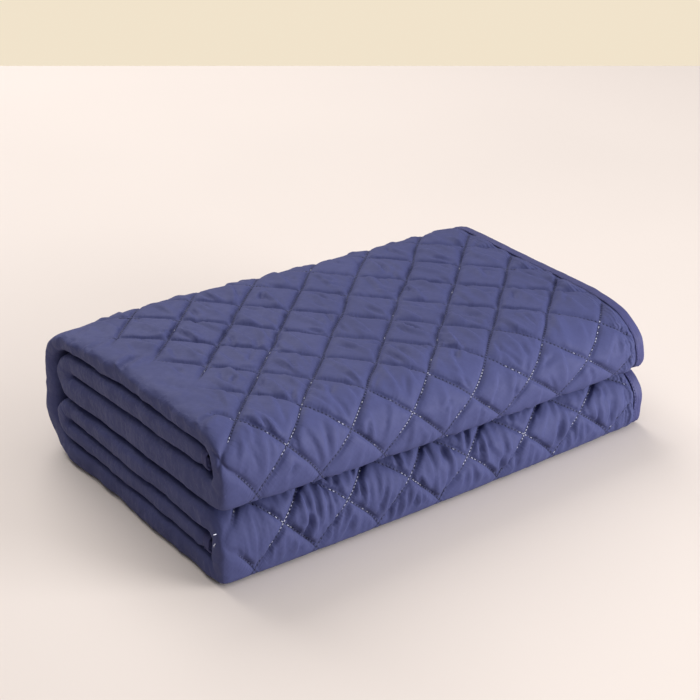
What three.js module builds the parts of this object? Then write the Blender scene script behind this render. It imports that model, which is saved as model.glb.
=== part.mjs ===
// A quilted pet furniture cover, folded for the shelf.
//
// The cover is one padded, diamond-quilted cloth with a binding sewn round its edge. It is
// folded double first, which leaves a soft fold at the -X end and its two bound long edges at
// the +X end. The double cloth then goes back and forth in six layers: both ends are turned in
// twice and the halves are closed like a book, with the spine at the back (+Y).
//
// A point of the cloth is given by three things: a column, which lies across the cloth (along
// X, round the soft fold and back), a row, which lies along the folded section (through the
// layers in the YZ plane), and a depth, out from the middle of the ply. Both pieces are blocks
// of cells in that grid, so the binding follows the cloth.
//
// Millimetres, +X along the folds, +Z up, origin on the floor under the middle of the pack.

import * as THREE from "three";

// Driving sizes.
const PACK_LENGTH = 380; // from the soft fold to the bound edges
const PLY = 7.2; // the quilted cloth at its full loft
const PLY_AT_EDGE = 3.4; // the same cloth pressed flat inside the binding
const LAYER_GAP = 1; // air between one layer and the next
const PACK_GAP = 0.8; // extra air between the lower three layers and the upper three
const SEAM_GAP = 0.4; // between the cloth and its binding
const TAPE = 1; // thickness of the binding tape
const TAPE_REACH = 9; // how far the tape reaches in from the edge
const PRESSED_REACH = 9.2; // where the cloth leaves the tape and starts to swell
const LOFT_REACH = 18; // where it is back to its full loft
const FOLD_RADIUS = 8; // the soft fold, from its centre to the middle of the ply
const SPINE_RADIUS = 25; // the spine's two corners, in the middle of the layer
const SPINE_DENT = { depth: 3, width: 7 }; // where the two halves close on each other
const SPINE_CLEARANCE = 2; // from the inner turns to the spine
const END_CLEARANCE = 10.5; // from a turned-in end to the turn around it
const FRONT_POWER = 2.4; // the inside of a front turn: 2 is an ellipse, more is squarer
const FRONT_CORNERS = {
  // how square the lower corner of each front turn is, as a power like FRONT_POWER
  upper: { fold: 6.5, bound: 3.8 },
  lower: { fold: 12, bound: 6 },
};
const DROOP = { fold: 2.5, bound: 11, width: 26 }; // how far the top's front edge sinks at each end
const SINK = { depth: 3.5, fromX: -146, fromY: -6, fullY: 112 }; // the top's corner above the spine
const BACK = { from: 60, full: 110 }; // where the spine's lean sets in along Y
const LEAN = { foot: 4, middle: 7 }; // how far the spine stands out behind its top
const END_SHIFT = { skew: 5, top: 2, foot: 6 }; // how the bound end stands out of square
const SKEW_SPAN = 120; // the Y at which the skew has its full size

// The six double layers from the floor up: how thick each lies at the bound end, and at the
// soft fold by the spine and by the front, where the loops stand fatter.
const LAYERS = [
  { name: "bottom", bound: 15.6, foldBack: 19, foldFront: 19 },
  { name: "lower end", bound: 15.4, foldBack: 15.5, foldFront: 15.5 },
  { name: "lower top", bound: 15.6, foldBack: 16.5, foldFront: 20 },
  { name: "upper underside", bound: 15.6, foldBack: 22, foldFront: 27 },
  { name: "upper end", bound: 15.4, foldBack: 19, foldFront: 18 },
  { name: "top", bound: 15.6, foldBack: 15.6, foldFront: 15.6 },
];
const LOOP_FADE = 1.8; // how fast the fat loops settle on the way to the bound end

// Where the middle of the turning layer lies, along Y, at the soft fold, half way and at the
// bound end.
const TURNS = {
  upperFront: { fold: -112, middle: -111, bound: -107 },
  lowerFront: { fold: -114, middle: -113, bound: -106 },
  spine: { fold: 113, middle: 113, bound: 111 },
};

// How finely each stretch is cut.
const RUN_CUTS = [0, 0.05, 0.14, 0.45, 1]; // back from the front turn, where the pack droops
const INNER_TURN_STEPS = 6;
const FRONT_TURN_STEPS = 8;
const CORNER_STEPS = 4;
const SPINE_STEPS = 5;
const FOLD_STEPS = 6;
const COLUMN_INSETS = [125, 235, 335]; // in from the bound edge

const CLOTH_COLOUR = 0x3d4677;
const BINDING_COLOUR = 0x363e6c;

const HALF = PACK_LENGTH / 2;
const FOLD_CENTRE = -HALF + FOLD_RADIUS + PLY / 2;
const CLOTH_EDGE = HALF - TAPE - SEAM_GAP;
const TOP = LAYERS.length - 1;

const mix = (a, b, t) => a + (b - a) * t;
const clamp01 = (t) => Math.min(1, Math.max(0, t));
const power = (value, exponent) => Math.sign(value) * Math.abs(value) ** exponent;
const list = (count, item) => Array.from({ length: count }, (_, i) => item(i));

// ---- The layers -----------------------------------------------------------------------

// A turn's place at x: a smooth curve through its three named places.
function turnAt(turn, x) {
  const t = clamp01((x + HALF) / PACK_LENGTH);
  return turn.fold * (1 - t) * (1 - 2 * t) + turn.middle * 4 * t * (1 - t) + turn.bound * t * (2 * t - 1);
}

const upperFront = (x) => turnAt(TURNS.upperFront, x);
const lowerFront = (x) => turnAt(TURNS.lowerFront, x);
const spineBack = (x) => turnAt(TURNS.spine, x);
const spineStart = (x) => spineBack(x) - SPINE_RADIUS;

function thickness(layer, x, y) {
  const { bound, foldBack, foldFront } = LAYERS[layer];
  const nearFold = clamp01((HALF - x) / PACK_LENGTH) ** LOOP_FADE;
  const nearFront = clamp01((TURNS.spine.middle - y) / (TURNS.spine.middle - TURNS.lowerFront.middle));
  return mix(bound, mix(foldBack, foldFront, nearFront), nearFold);
}

// The height of the underside of a layer.
function floorOf(layer, x, y) {
  let z = layer > 2 ? PACK_GAP : 0;
  for (let below = 0; below < layer; below++) z += thickness(below, x, y) + LAYER_GAP;
  return z;
}

const middleOf = (layer, x, y) => floorOf(layer, x, y) + thickness(layer, x, y) / 2;

// Half the room for the turned-in end between the layers a front turn joins, and the place
// where that turn starts.
const room = (below, above, front) => (x) =>
  (floorOf(above, x, front(x)) - floorOf(below, x, front(x)) - thickness(below, x, front(x))) / 2;
const upperRoom = room(3, TOP, upperFront);
const lowerRoom = room(0, 2, lowerFront);
const upperBase = (x) => upperFront(x) + thickness(TOP, x, upperFront(x)) / 2 + upperRoom(x);
const lowerBase = (x) => lowerFront(x) + thickness(2, x, lowerFront(x)) / 2 + lowerRoom(x);

// ---- The folded section ---------------------------------------------------------------

// A row is a function of x. It gives the middle of the layer there, the way out and the
// layer's thickness.
function flatRow(layer, yAt, facing) {
  return (x) => {
    const y = yAt(x);
    return { y, z: middleOf(layer, x, y), ny: 0, nz: facing, thick: thickness(layer, x, y) };
  };
}

// A layer's straight stretch, from the front to the back.
const run = (layer, front, back, facing) =>
  RUN_CUTS.map((cut) => flatRow(layer, (x) => mix(front(x), back(x), cut), facing));

// A half turn from one layer to the next, wrapped round the air inside it. side is -1 at the
// front and 1 at the back; reach(x) is how far that air stands out from base(x).
function halfTurn(from, to, base, reach, side, roundness, steps) {
  const upper = Math.max(from, to);
  const lower = Math.min(from, to);
  const up = Math.sign(to - from);
  return list(steps - 1, (i) => (x) => {
    const angle = Math.PI * ((i + 1) / steps - 0.5);
    const y = base(x);
    const a = reach(x);
    const floor = floorOf(lower, x, y) + thickness(lower, x, y);
    const b = (floorOf(upper, x, y) - floor) / 2;
    const out = Math.cos(angle) ** (2 / roundness);
    const rise = up * power(Math.sin(angle), 2 / roundness);
    const ny = (side * out ** (roundness - 1)) / a;
    const nz = power(rise, roundness - 1) / b;
    const n = Math.hypot(ny, nz);
    const thick = mix(thickness(from, x, y), thickness(to, x, y), (1 + Math.sin(angle)) / 2);
    return {
      y: y + side * a * out + (ny / n) * (thick / 2),
      z: floor + b + b * rise + (nz / n) * (thick / 2),
      ny: ny / n,
      nz: nz / n,
      thick,
    };
  });
}

// One of the spine's two round corners. from and to are its angles down from straight up or
// up from straight down.
function spineCorner(layer, facing, from, to) {
  return list(CORNER_STEPS, (i) => (x) => {
    const angle = (mix(from, to, i / CORNER_STEPS) * Math.PI) / 2;
    const y = spineStart(x);
    const z = middleOf(layer, x, y) - facing * SPINE_RADIUS;
    return {
      y: y + SPINE_RADIUS * Math.sin(angle),
      z: z + facing * SPINE_RADIUS * Math.cos(angle),
      ny: Math.sin(angle),
      nz: facing * Math.cos(angle),
      thick: thickness(layer, x, y),
    };
  });
}

// The straight back of the spine, with a shallow dent where the halves close.
function spineStraight() {
  return list(SPINE_STEPS + 1, (i) => (x) => {
    const start = spineStart(x);
    const high = middleOf(TOP, x, start) - SPINE_RADIUS;
    const low = middleOf(0, x, start) + SPINE_RADIUS;
    const z = mix(high, low, i / SPINE_STEPS);
    const above = (z - floorOf(3, x, start)) / SPINE_DENT.width;
    const dent = SPINE_DENT.depth * Math.exp(-(above ** 2));
    const slope = (2 * dent * above) / SPINE_DENT.width;
    const n = Math.hypot(1, slope);
    const thick = mix(thickness(TOP, x, start), thickness(0, x, start), i / SPINE_STEPS);
    return { y: spineBack(x) - dent, z, ny: 1 / n, nz: -slope / n, thick };
  });
}

// Every row, from the end inside the upper front turn to the end inside the lower one. The
// turned-in ends have rows of their own at the given insets from the cloth's edge.
function foldedSection(edgeInsets) {
  // The two inner turns stand a little inside the spine.
  const innerReach = () => LAYER_GAP / 2;
  const innerBase = (below, above) => (x) => {
    const thick = (thickness(below, x, spineStart(x)) + thickness(above, x, spineStart(x))) / 2;
    return spineBack(x) - thickness(TOP, x, 0) / 2 - SPINE_CLEARANCE - thick - innerReach();
  };
  const upperTurn = innerBase(3, 4);
  const lowerTurn = innerBase(1, 2);

  const endRun = (layer, base, reach, turn, facing) => {
    const edge = (x) => base(x) - reach(x) + END_CLEARANCE;
    const start = (x) => edge(x) + LOFT_REACH;
    return [
      ...edgeInsets.map((inset) => flatRow(layer, (x) => edge(x) + inset, facing)),
      ...run(layer, start, turn, facing),
    ];
  };

  return [
    ...endRun(4, upperBase, upperRoom, upperTurn, 1),
    ...halfTurn(4, 3, upperTurn, innerReach, 1, 2, INNER_TURN_STEPS),
    ...run(3, upperBase, upperTurn, -1).reverse(),
    ...halfTurn(3, TOP, upperBase, upperRoom, -1, FRONT_POWER, FRONT_TURN_STEPS),
    ...run(TOP, upperBase, spineStart, 1),
    ...spineCorner(TOP, 1, 0, 1).slice(1),
    ...spineStraight(),
    ...spineCorner(0, -1, 1, 0).slice(1),
    ...run(0, lowerBase, spineStart, -1).reverse(),
    ...halfTurn(0, 2, lowerBase, lowerRoom, -1, FRONT_POWER, FRONT_TURN_STEPS),
    ...run(2, lowerBase, lowerTurn, 1),
    ...halfTurn(2, 1, lowerTurn, innerReach, 1, 2, INNER_TURN_STEPS),
    ...endRun(1, lowerBase, lowerRoom, lowerTurn, -1).reverse(),
  ];
}

// ---- Across the cloth -----------------------------------------------------------------

// A column gives its place along X and its angle round the soft fold: 0 on the outer ply and
// pi on the inner one. They run from the inner ply's edge to the outer ply's.
function columnsAcross(edgeInsets) {
  const insets = [...edgeInsets, LOFT_REACH, ...COLUMN_INSETS];
  const ply = (angle) => insets.map((inset) => ({ x: CLOTH_EDGE - inset, angle }));
  const fold = list(FOLD_STEPS + 1, (i) => ({ x: FOLD_CENTRE, angle: Math.PI * (1 - i / FOLD_STEPS) }));
  return [...ply(Math.PI), ...fold, ...ply(0).reverse()];
}

// Pushes the lower front quarter of a turn round (y0, z0) out towards a square corner.
function squared(y, z, y0, z0, power) {
  const dy = Math.min(y - y0, 0);
  const dz = Math.min(z - z0, 0);
  const r = Math.hypot(dy, dz);
  if (r === 0) return { y, z };
  const radius = (n) => ((-dy / r) ** n + (-dz / r) ** n) ** (-1 / n);
  const fuller = radius(power) / radius(FRONT_POWER) - 1;
  return { y: y + dy * fuller, z: z + dz * fuller };
}

// The pack's small uneven shifts: square lower corners along the front, a drooping front edge,
// a sunken back corner, a leaning spine and a bound end that is out of square.
function settled(x, y, z) {
  const bound = clamp01((x + HALF) / PACK_LENGTH);
  const inUpper = z > floorOf(3, x, y) - (LAYER_GAP + PACK_GAP) / 2;
  const [base, low, high] = inUpper ? [upperBase(x), 3, TOP] : [lowerBase(x), 0, 2];
  const middle = (middleOf(low, x, base) + middleOf(high, x, base)) / 2;
  const corner = inUpper ? FRONT_CORNERS.upper : FRONT_CORNERS.lower;
  const turned = squared(y, z, base, middle, mix(corner.fold, corner.bound, bound));

  const front = upperFront(x) - thickness(TOP, x, upperFront(x)) / 2;
  const share = turned.z / (floorOf(TOP, x, turned.y) + thickness(TOP, x, turned.y));
  const foot = clamp01(1 - share);
  const most = mix(DROOP.fold, DROOP.bound, bound);
  const droop = most * Math.exp(-(((turned.y - front) / DROOP.width) ** 2));
  const cornerX = clamp01((SINK.fromX - x) / (SINK.fromX + HALF));
  const cornerY = clamp01((turned.y - SINK.fromY) / (SINK.fullY - SINK.fromY));
  const back = clamp01((turned.y - BACK.from) / (BACK.full - BACK.from));
  const lean = back * (LEAN.foot * foot + LEAN.middle * Math.sin(Math.PI * foot));
  const swing = (-END_SHIFT.skew * turned.y) / SKEW_SPAN + mix(END_SHIFT.top, END_SHIFT.foot, foot);
  return [
    x + bound ** 3 * swing,
    turned.y + lean,
    turned.z - (droop + SINK.depth * cornerX * cornerY) * share ** 2,
  ];
}

// The point at a column and a row, a depth out from the middle of the ply.
function pointAt(column, row, depth) {
  const { y, z, ny, nz, thick } = row(column.x);
  const out = ((thick - PLY) / 2 + depth) * Math.cos(column.angle);
  const x = column.x - (FOLD_RADIUS + depth) * Math.sin(column.angle);
  return settled(x, y + ny * out, z + nz * out);
}

// ---- Solids ---------------------------------------------------------------------------

// A closed surface round the filled cells of a grid. counts is how many points the grid has
// each way, filled(i, j, k) says whether the cell above point (i, j, k) is solid, and
// at(i, j, k) places a point. The three directions are right-handed.
function solidOfCells(counts, filled, at) {
  const inside = (cell) => cell.every((c, axis) => c >= 0 && c < counts[axis] - 1) && filled(...cell);
  const numbers = new Map();
  const positions = [];
  const triangles = [];
  const number = (corner) => {
    const key = corner.join(",");
    if (!numbers.has(key)) {
      numbers.set(key, positions.length / 3);
      positions.push(...at(...corner));
    }
    return numbers.get(key);
  };
  const addFace = (cell, axis, high) => {
    const [u, v] = high ? [(axis + 1) % 3, (axis + 2) % 3] : [(axis + 2) % 3, (axis + 1) % 3];
    const corner = (alongU, alongV) => {
      const c = [...cell];
      c[axis] += high;
      c[u] += alongU;
      c[v] += alongV;
      return number(c);
    };
    const [a, b, c, d] = [corner(0, 0), corner(1, 0), corner(1, 1), corner(0, 1)];
    triangles.push(a, b, c, a, c, d);
  };
  for (let i = 0; i < counts[0] - 1; i++)
    for (let j = 0; j < counts[1] - 1; j++)
      for (let k = 0; k < counts[2] - 1; k++) {
        if (!filled(i, j, k)) continue;
        for (const axis of [0, 1, 2])
          for (const high of [0, 1]) {
            const next = [i, j, k];
            next[axis] += high ? 1 : -1;
            if (!inside(next)) addFace([i, j, k], axis, high);
          }
      }
  const geometry = new THREE.BufferGeometry();
  geometry.setAttribute("position", new THREE.Float32BufferAttribute(positions, 3));
  geometry.setIndex(triangles);
  geometry.computeVertexNormals();
  return geometry;
}

// The quilted cloth: one ply's depth everywhere, pressed thin along its edge.
function quiltedCloth() {
  const columns = columnsAcross([0, PRESSED_REACH]);
  const rows = foldedSection([0, PRESSED_REACH]);
  const nearEdge = (index, count) => Math.min(index, count - 1 - index) < 2;
  const halfDepth = (i, j) =>
    (nearEdge(i, columns.length) || nearEdge(j, rows.length) ? PLY_AT_EDGE : PLY) / 2;
  const at = (i, j, k) => pointAt(columns[i], rows[j], (k ? 1 : -1) * halfDepth(i, j));
  return solidOfCells([columns.length, rows.length, 2], () => true, at);
}

// The binding: a tape folded over the edge of the cloth all the way round.
function edgeBinding() {
  const edgeInsets = [-SEAM_GAP - TAPE, -SEAM_GAP, TAPE_REACH];
  const columns = columnsAcross(edgeInsets);
  const rows = foldedSection(edgeInsets);
  const inner = PLY_AT_EDGE / 2 + SEAM_GAP;
  const depths = [-inner - TAPE, -inner, inner, inner + TAPE];
  const fromEdge = (cell, count) => Math.min(cell, count - 2 - cell);
  const filled = (i, j, k) => {
    const cell = Math.min(fromEdge(i, columns.length), fromEdge(j, rows.length));
    return cell === 0 || (cell === 1 && k !== 1);
  };
  const at = (i, j, k) => pointAt(columns[i], rows[j], depths[k]);
  return solidOfCells([columns.length, rows.length, depths.length], filled, at);
}

function piece(name, geometry, color, roughness) {
  const material = new THREE.MeshStandardMaterial({ color, roughness, metalness: 0 });
  const mesh = new THREE.Mesh(geometry, material);
  mesh.name = name;
  return mesh;
}

const cover = new THREE.Group();
cover.add(piece("quilted_cloth", quiltedCloth(), CLOTH_COLOUR, 0.75));
cover.add(piece("edge_binding", edgeBinding(), BINDING_COLOUR, 0.7));

// The origin is under the middle of the pack.
const centre = new THREE.Box3().setFromObject(cover).getCenter(new THREE.Vector3());
for (const mesh of cover.children) mesh.geometry.translate(-centre.x, -centre.y, 0);

export default cover;
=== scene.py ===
# A diamond-quilted furniture cover, folded double and then back and forth into a soft block.
# It has a padded cloth, a binding round the cloth's edge and the thread of its quilting.

import math

import bpy
import numpy as np
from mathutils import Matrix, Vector


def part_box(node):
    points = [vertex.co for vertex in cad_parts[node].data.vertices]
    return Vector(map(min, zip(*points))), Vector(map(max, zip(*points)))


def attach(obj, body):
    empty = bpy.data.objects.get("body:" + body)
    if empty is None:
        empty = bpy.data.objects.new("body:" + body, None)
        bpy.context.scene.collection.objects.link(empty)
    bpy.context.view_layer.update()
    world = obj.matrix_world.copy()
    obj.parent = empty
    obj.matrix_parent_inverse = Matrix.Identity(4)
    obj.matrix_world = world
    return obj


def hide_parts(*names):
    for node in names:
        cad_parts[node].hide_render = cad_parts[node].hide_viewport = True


bl_info = {
    "name": "Folded Quilted Cover",
    "version": (1, 0, 0),
    "blender": (4, 5, 0),
    "location": "View3D > Sidebar > Folded Cover",
    "description": "Builds a folded, diamond-quilted furniture cover and its stage",
    "category": "Object",
}

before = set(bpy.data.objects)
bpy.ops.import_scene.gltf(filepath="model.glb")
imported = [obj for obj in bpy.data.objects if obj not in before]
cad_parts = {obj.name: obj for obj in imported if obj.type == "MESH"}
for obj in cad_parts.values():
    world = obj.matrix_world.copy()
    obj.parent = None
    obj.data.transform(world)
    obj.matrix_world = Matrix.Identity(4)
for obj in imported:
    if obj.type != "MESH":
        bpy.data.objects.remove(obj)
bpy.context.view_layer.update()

MM = 0.001

# ---- Sizes of the folded cloth, in millimetres ------------------------------------------

PACK_LENGTH = 380.0
HALF = PACK_LENGTH / 2
# From the section's own frame to the part's frame, which is centred on its box.
SHIFT = (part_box("quilted_cloth")[0].x / MM + HALF, -2.6, 0.0)
PLY = 7.2
PLY_AT_EDGE = 3.4
LAYER_GAP = 1.0
PACK_GAP = 0.8
TAPE_REACH = 7.5
TAPE_OVERHANG = 1.4
LOFT_REACH = 11.5  # how far in from the edge the cloth has its full thickness
FOLD_RADIUS = 8.0
SPINE_RADIUS = 25.0
SPINE_CLEARANCE = 2.0
END_CLEARANCE = 5.0
FOLD_CENTRE = -HALF + FOLD_RADIUS + PLY / 2
CLOTH_EDGE = HALF - TAPE_OVERHANG
FOLD_ARC = 39.0  # round the outside of the soft fold

# The six double layers from the floor up: their thickness at the bound end, and at the soft
# fold by the spine and by the front.
LAYERS = (
    (15.6, 19.0, 19.0),
    (15.4, 15.5, 15.5),
    (15.6, 16.5, 20.0),
    (15.6, 22.0, 27.0),
    (15.4, 19.0, 18.0),
    (15.6, 15.6, 15.6),
)
BOTTOM, LOWER_END, LOWER_TOP, UNDERSIDE, UPPER_END, TOP = range(len(LAYERS))
LOOP_FADE = 1.8  # how quickly they thin towards the bound end

# Where the middle of a turning layer lies along Y: at the soft fold, half way and at the
# bound end.
UPPER_FRONT = (-112.0, -111.0, -107.0)
LOWER_FRONT = (-114.0, -113.0, -106.0)
SPINE = (113.0, 113.0, 111.0)

# The creases across the spine: height on the spine, depth, half width.
SPINE_CREASES = ((34.0, 2.6, 3.0), (17.0, 2.2, 3.0), (60.0, 1.4, 4.5), (86.0, 1.0, 4.0))

# How far the front of the top droops: at the soft fold, at the bound end, and its width.
DROOP = (2.5, 11.0, 26.0)
# How far the back corner of the top sinks at the soft fold, and its reach along X and Y.
SINK = (8.0, 60.0, 62.0)
LEAN = 4.0  # how far the foot of the spine stands out behind its top
BULGE = 7.0  # and its middle
LEAN_FROM, LEAN_FADE = 60.0, 50.0  # along Y
SKEW = 5.0 / 120  # how far the bound end swings forward, as a share of the distance from Y 0
STRETCH_END = (2.0, 6.0)  # how far the bound end stands out at the top and at the foot
# How square the lower corners of the front turns are, at the soft fold and at the bound end,
# and how square the turns are as a whole; 2 is round.
UPPER_SQUARE = (6.5, 3.8)
LOWER_SQUARE = (12.0, 6.0)
FRONT_ROUNDNESS = (3.0, 2.2)
FOLD_SQUARE = 3.5  # and the soft folds
FOLD_LUMPS = 1.6
BOUND_WAVER = 1.3
FRONT_PINCH = 14.8  # the least thickness of the front turns, at the soft fold

# ---- Sizes of the quilting --------------------------------------------------------------

HALF_PITCH = 26.77
SEAM_SIDE = HALF_PITCH * math.sqrt(2)  # one side of a diamond
CELLS = 16  # mesh cells in half a pitch
SEAM_COLUMN = -134.6  # where seam column 0 crosses the top, along X
LOWER_SEAM_COLUMN = -138.7  # and the lower front
LAST_COLUMN = 11
SEAM_ROW = -19.0  # where seam row 0 crosses the top, along Y
LOWER_ROW = 18  # the seam row on the lower front
LOWER_RISE = 9.7  # its height above the foremost line of the lower front
LOWER_REACH = 60.0  # how far before it the rows keep their even pitch
SEAM_WAVER = 1.5
SWELL_REACH = 7.0

# The smooth band by the soft fold ends between these seam columns. The quilting reaches more
# columns into it on the two fronts and at the back of the top.
BAND_END = (-1.25, -0.1)
FRONT_SPREAD = 1.3
BACK_SPREAD = 0.6
BAND_WAVE = 0.8  # how far the smooth band rises and falls

# How the stitched face is relaxed: the slack across and along the cloth, on the top and on
# the lower front; how strongly the filling holds the face and how stiff it is; the rounds.
SLACK = np.array(((0.06, 0.045), (0.11, 0.05)))
FILLING = 0.03
STIFFNESS = 0.03
ROUNDS = 90
RELIEF_MARGIN = 24.0  # how far past the two fronts the face is relaxed
RELIEF_COLUMNS = 2.0  # and how far round the soft fold
SEWN = 0.25  # how near a seam the cloth is held
SEWN_ZONE = 0.35  # and the share of the quilting from which it is
PATCHES = (0.6, 0.5, 33.0)  # how much slack there is, how much that varies and how broadly
HIGHEST = (4.0, 0.05)  # how far it may rise off the plain face, and under the pack
DITCH_SHARE = 0.5  # how much of the seams' depth is a sharp ditch
DITCH_WIDTH = 1.6

# Where the relief is pressed flat: between these seam rows under the upper front, on the
# floor (to a share, and where that ends on both sides of the lower front's beginning), and on
# the back edge (by a share, its place and reach).
PRESSED_ROWS = (-5.3, -4.3)
PRESSED_SHARE = 0.25
FLOOR_SHARE = 0.06
FLOOR_ENDS = ((20.0, 33.0), (-30.0, -50.0))
BACK_PRESS = (0.45, 15.0, 25.0)

# The folds within one diamond: their least and greatest number, height as a share of the
# deepest, width of the gentle and of the steep side and lean; then the number, depth and
# length of the narrow creases.
PLEATS = {
    "top": ((1, 2), (0.9, 2.1), (5.0, 9.0), (2.0, 3.2), -0.05, (2, 3), (0.6, 1.3), (12, 24)),
    "upper front": ((1, 2), (0.6, 1.4), (6.0, 10.0), (2.4, 3.6), 0.2, (2, 5), (0.5, 1.1), (12, 28)),
    "lower front": ((2, 3), (0.5, 1.1), (4.0, 8.0), (2.4, 3.6), 0.1, (6, 9), (0.7, 1.5), (24, 40)),
}
PLEAT_ROW = (30.0, 34.0)  # how wide a diamond's folds spread, and where they would be gone
PLEAT_STRAY = (4.0, 6.0)  # how far they stray across and along their length
LEAN_SPREAD = 0.2
PLEAT_BOW = 0.004
CREASE_BOW = 0.01
TURNED_PLEATS = 0.2  # the share of the folds that lie the other way
CREASE_WIDTH = (1.2, 2.0)
CALM_END = 0.35  # the share of the pleats at the lower front's soft fold
EDGE_PLEATS = (1.5, 5.6, 17.0)  # along the bound edge of the fronts: height, spacing, reach
# Creases of the smooth band on the top: from x, y to x, y, depth and width.
BAND_CREASES = (
    (-168.0, 20.5, -186.0, 10.0, 2.2, 2.6),
    (-188.0, 55.0, -175.0, 60.0, 1.2, 2.2),
    (-186.0, -97.0, -178.0, -91.0, 1.6, 2.0),
    (-178.0, -91.0, -166.0, -91.0, 1.4, 2.0),
    (-176.0, -30.0, -166.0, -52.0, 0.9, 4.0),
    (-184.0, -60.0, -170.0, -74.0, 0.8, 4.0),
    (-186.0, 88.0, -168.0, 96.0, 1.1, 2.6),
)

# ---- Sizes of the thread and the tape ---------------------------------------------------

STITCHES_A_SEAM = 13  # along each side of a diamond
# A stitch from end to end: place along it from -1 to 1, and lift off the cloth.
STITCH_SHAPE = ((-1, -0.25), (-0.6, 0.2), (0.0, 0.38), (0.6, 0.2), (1, -0.25))
STITCHED = 0.55  # the share of the relief from which a seam shows its stitches
STITCH_MARGIN = 6.0  # how far past the two fronts they go on
TAPE_COLUMNS = 0.36  # and how many columns from the cloth's edge they stop
# None underneath: from this far past the bottom's beginning to this far past the lower front's.
NO_STITCHES = (-8.0, 24.0)
# The stitches painted with a highlight in the pale thread colour: the seam rows where they
# gather, how many rows they reach and how many of them get the painted highlight on falling
# and on rising seams, and their share elsewhere.
HIGHLIGHT_ROWS = (-3.8, 18.0)
HIGHLIGHT_REACH = (0.6, 0.4)
HIGHLIGHT_AMOUNT = (1.0, 0.45)
HIGHLIGHT_STRAY = 0.015
# Two loose ends of thread at the soft fold of the lower front, and their radius.
LOOSE_ENDS = (
    ((-188.0, -115.0, 42.4), (-189.8, -115.4, 42.8), (-191.6, -115.8, 43.2), (-192.2, -116.0, 43.8)),
    ((-188.0, -115.0, 35.4), (-190.0, -115.4, 35.6), (-192.0, -116.0, 35.0), (-192.2, -116.6, 33.8)),
)
LOOSE_RADIUS = 0.35
THREAD_SIDES = 5

# The tape's section, as insets from the cloth's edge and heights above the ply's middle: its
# ridged outside and its inside. The other ply has the same, mirrored.
TAPE_OUTSIDE = (
    (TAPE_REACH, 2.05), (TAPE_REACH - 0.3, 2.8), (TAPE_REACH - 1.4, 2.3), (TAPE_REACH - 2.5, 3.1),
    (4.0, 2.3), (3.0, 3.2), (2.0, 2.4), (1.0, 3.0), (0.0, 2.3), (-0.9, 1.8), (-1.4, 0.7),
)
TAPE_INSIDE = ((-0.4, 0.7), (0.2, 1.9), (1.2, 2.1), (TAPE_REACH - 1.0, 2.1))
TAPE_GATHER = (0.55, 3.0, 5.0)  # the height of its gathers, where they are deepest, their reach
TAPE_STITCH = (3.0, 0.3, 6.1, 2.3)  # pitch, half a stitch as a share of it, inset and height
TAPE_STEP = 3.0
TAPE_SHORT_STEP = 8.0  # along the two short edges
TAPE_MITRE = 30.0

# ---- The stage, in metres, degrees and watts --------------------------------------------

CAMERA_AZIMUTH = -35.3
CAMERA_HEIGHT = 27.14
CAMERA_DISTANCE = 1.63
CAMERA_LENS = 106.8
AIM = (38.0, 50.4, 45.0)  # millimetres, in the section's own frame
LIGHT_AIM = (0, 0, 0.05)
TABLE_NEAR, TABLE_FAR, TABLE_SIDE = 4.0, 0.795, 4.0
AMBIENT = (1.0, 0.95, 0.9, 1)
AMBIENT_STRENGTH = 0.13
BACKDROP = (0.88, 0.77, 0.6, 1)
# Name, power, size, colour and place of the lights.
LIGHTS = (
    ("window", 36.0, 1.7, (1.0, 0.96, 0.93), (0.1, 1.5, 1.6)),
    ("overhead", 24.0, 2.6, (1.0, 0.96, 0.93), (-0.15, -0.3, 2.0)),
    ("key", 16.0, 1.3, (1.0, 0.98, 0.98), (1.2, -1.6, 1.0)),
    ("bounce", 26.0, 0.9, (1.0, 0.98, 0.97), (0.8, -1.2, 0.16)),
)


def mix(a, b, t):
    return a + (b - a) * t


def smooth(low, high, value):
    t = np.clip((value - low) / (high - low), 0.0, 1.0)
    return t * t * (3 - 2 * t)


def hill(distance, reach):
    return np.exp(-((distance / reach) ** 2))


def signed_power(value, exponent):
    return np.sign(value) * np.abs(value) ** exponent


def wander(u, v, seed):
    """Smooth noise from -1 to 1 that changes over a distance of about 1 in u and in v."""
    values = np.random.RandomState(seed).uniform(-1, 1, (64, 64))
    i, j = np.floor(u).astype(int), np.floor(v).astype(int)
    s, t = smooth(0, 1, u - i), smooth(0, 1, v - j)
    near, far = (
        mix(values[i % 64, (j + dj) % 64], values[(i + 1) % 64, (j + dj) % 64], s) for dj in (0, 1)
    )
    return mix(near, far, t)


# ---- The folded section -----------------------------------------------------------------


def bound_share(x):
    """0 at the soft fold, 1 at the bound end."""
    return np.clip((x + HALF) / PACK_LENGTH, 0, 1)


def turn_line(places, x):
    """A line along Y through its three places."""
    t = bound_share(x)
    fold, middle, bound = places
    return fold * (1 - t) * (1 - 2 * t) + middle * 4 * t * (1 - t) + bound * t * (2 * t - 1)


def spine_start(x):
    return turn_line(SPINE, x) - SPINE_RADIUS


def thickness(layer, x, y):
    bound, fold_back, fold_front = LAYERS[layer]
    near_fold = (1 - bound_share(x)) ** LOOP_FADE
    near_front = np.clip((SPINE[1] - y) / (SPINE[1] - LOWER_FRONT[1]), 0, 1)
    return mix(bound, mix(fold_back, fold_front, near_front), near_fold)


def mean_thickness(first, second, x, y):
    return (thickness(first, x, y) + thickness(second, x, y)) / 2


def floor_of(layer, x, y):
    """The height of a layer's lower face."""
    z = PACK_GAP if layer >= UNDERSIDE else 0.0
    for below in range(layer):
        z = z + thickness(below, x, y) + LAYER_GAP
    return z


def middle_of(layer, x, y):
    return floor_of(layer, x, y) + thickness(layer, x, y) / 2


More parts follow.
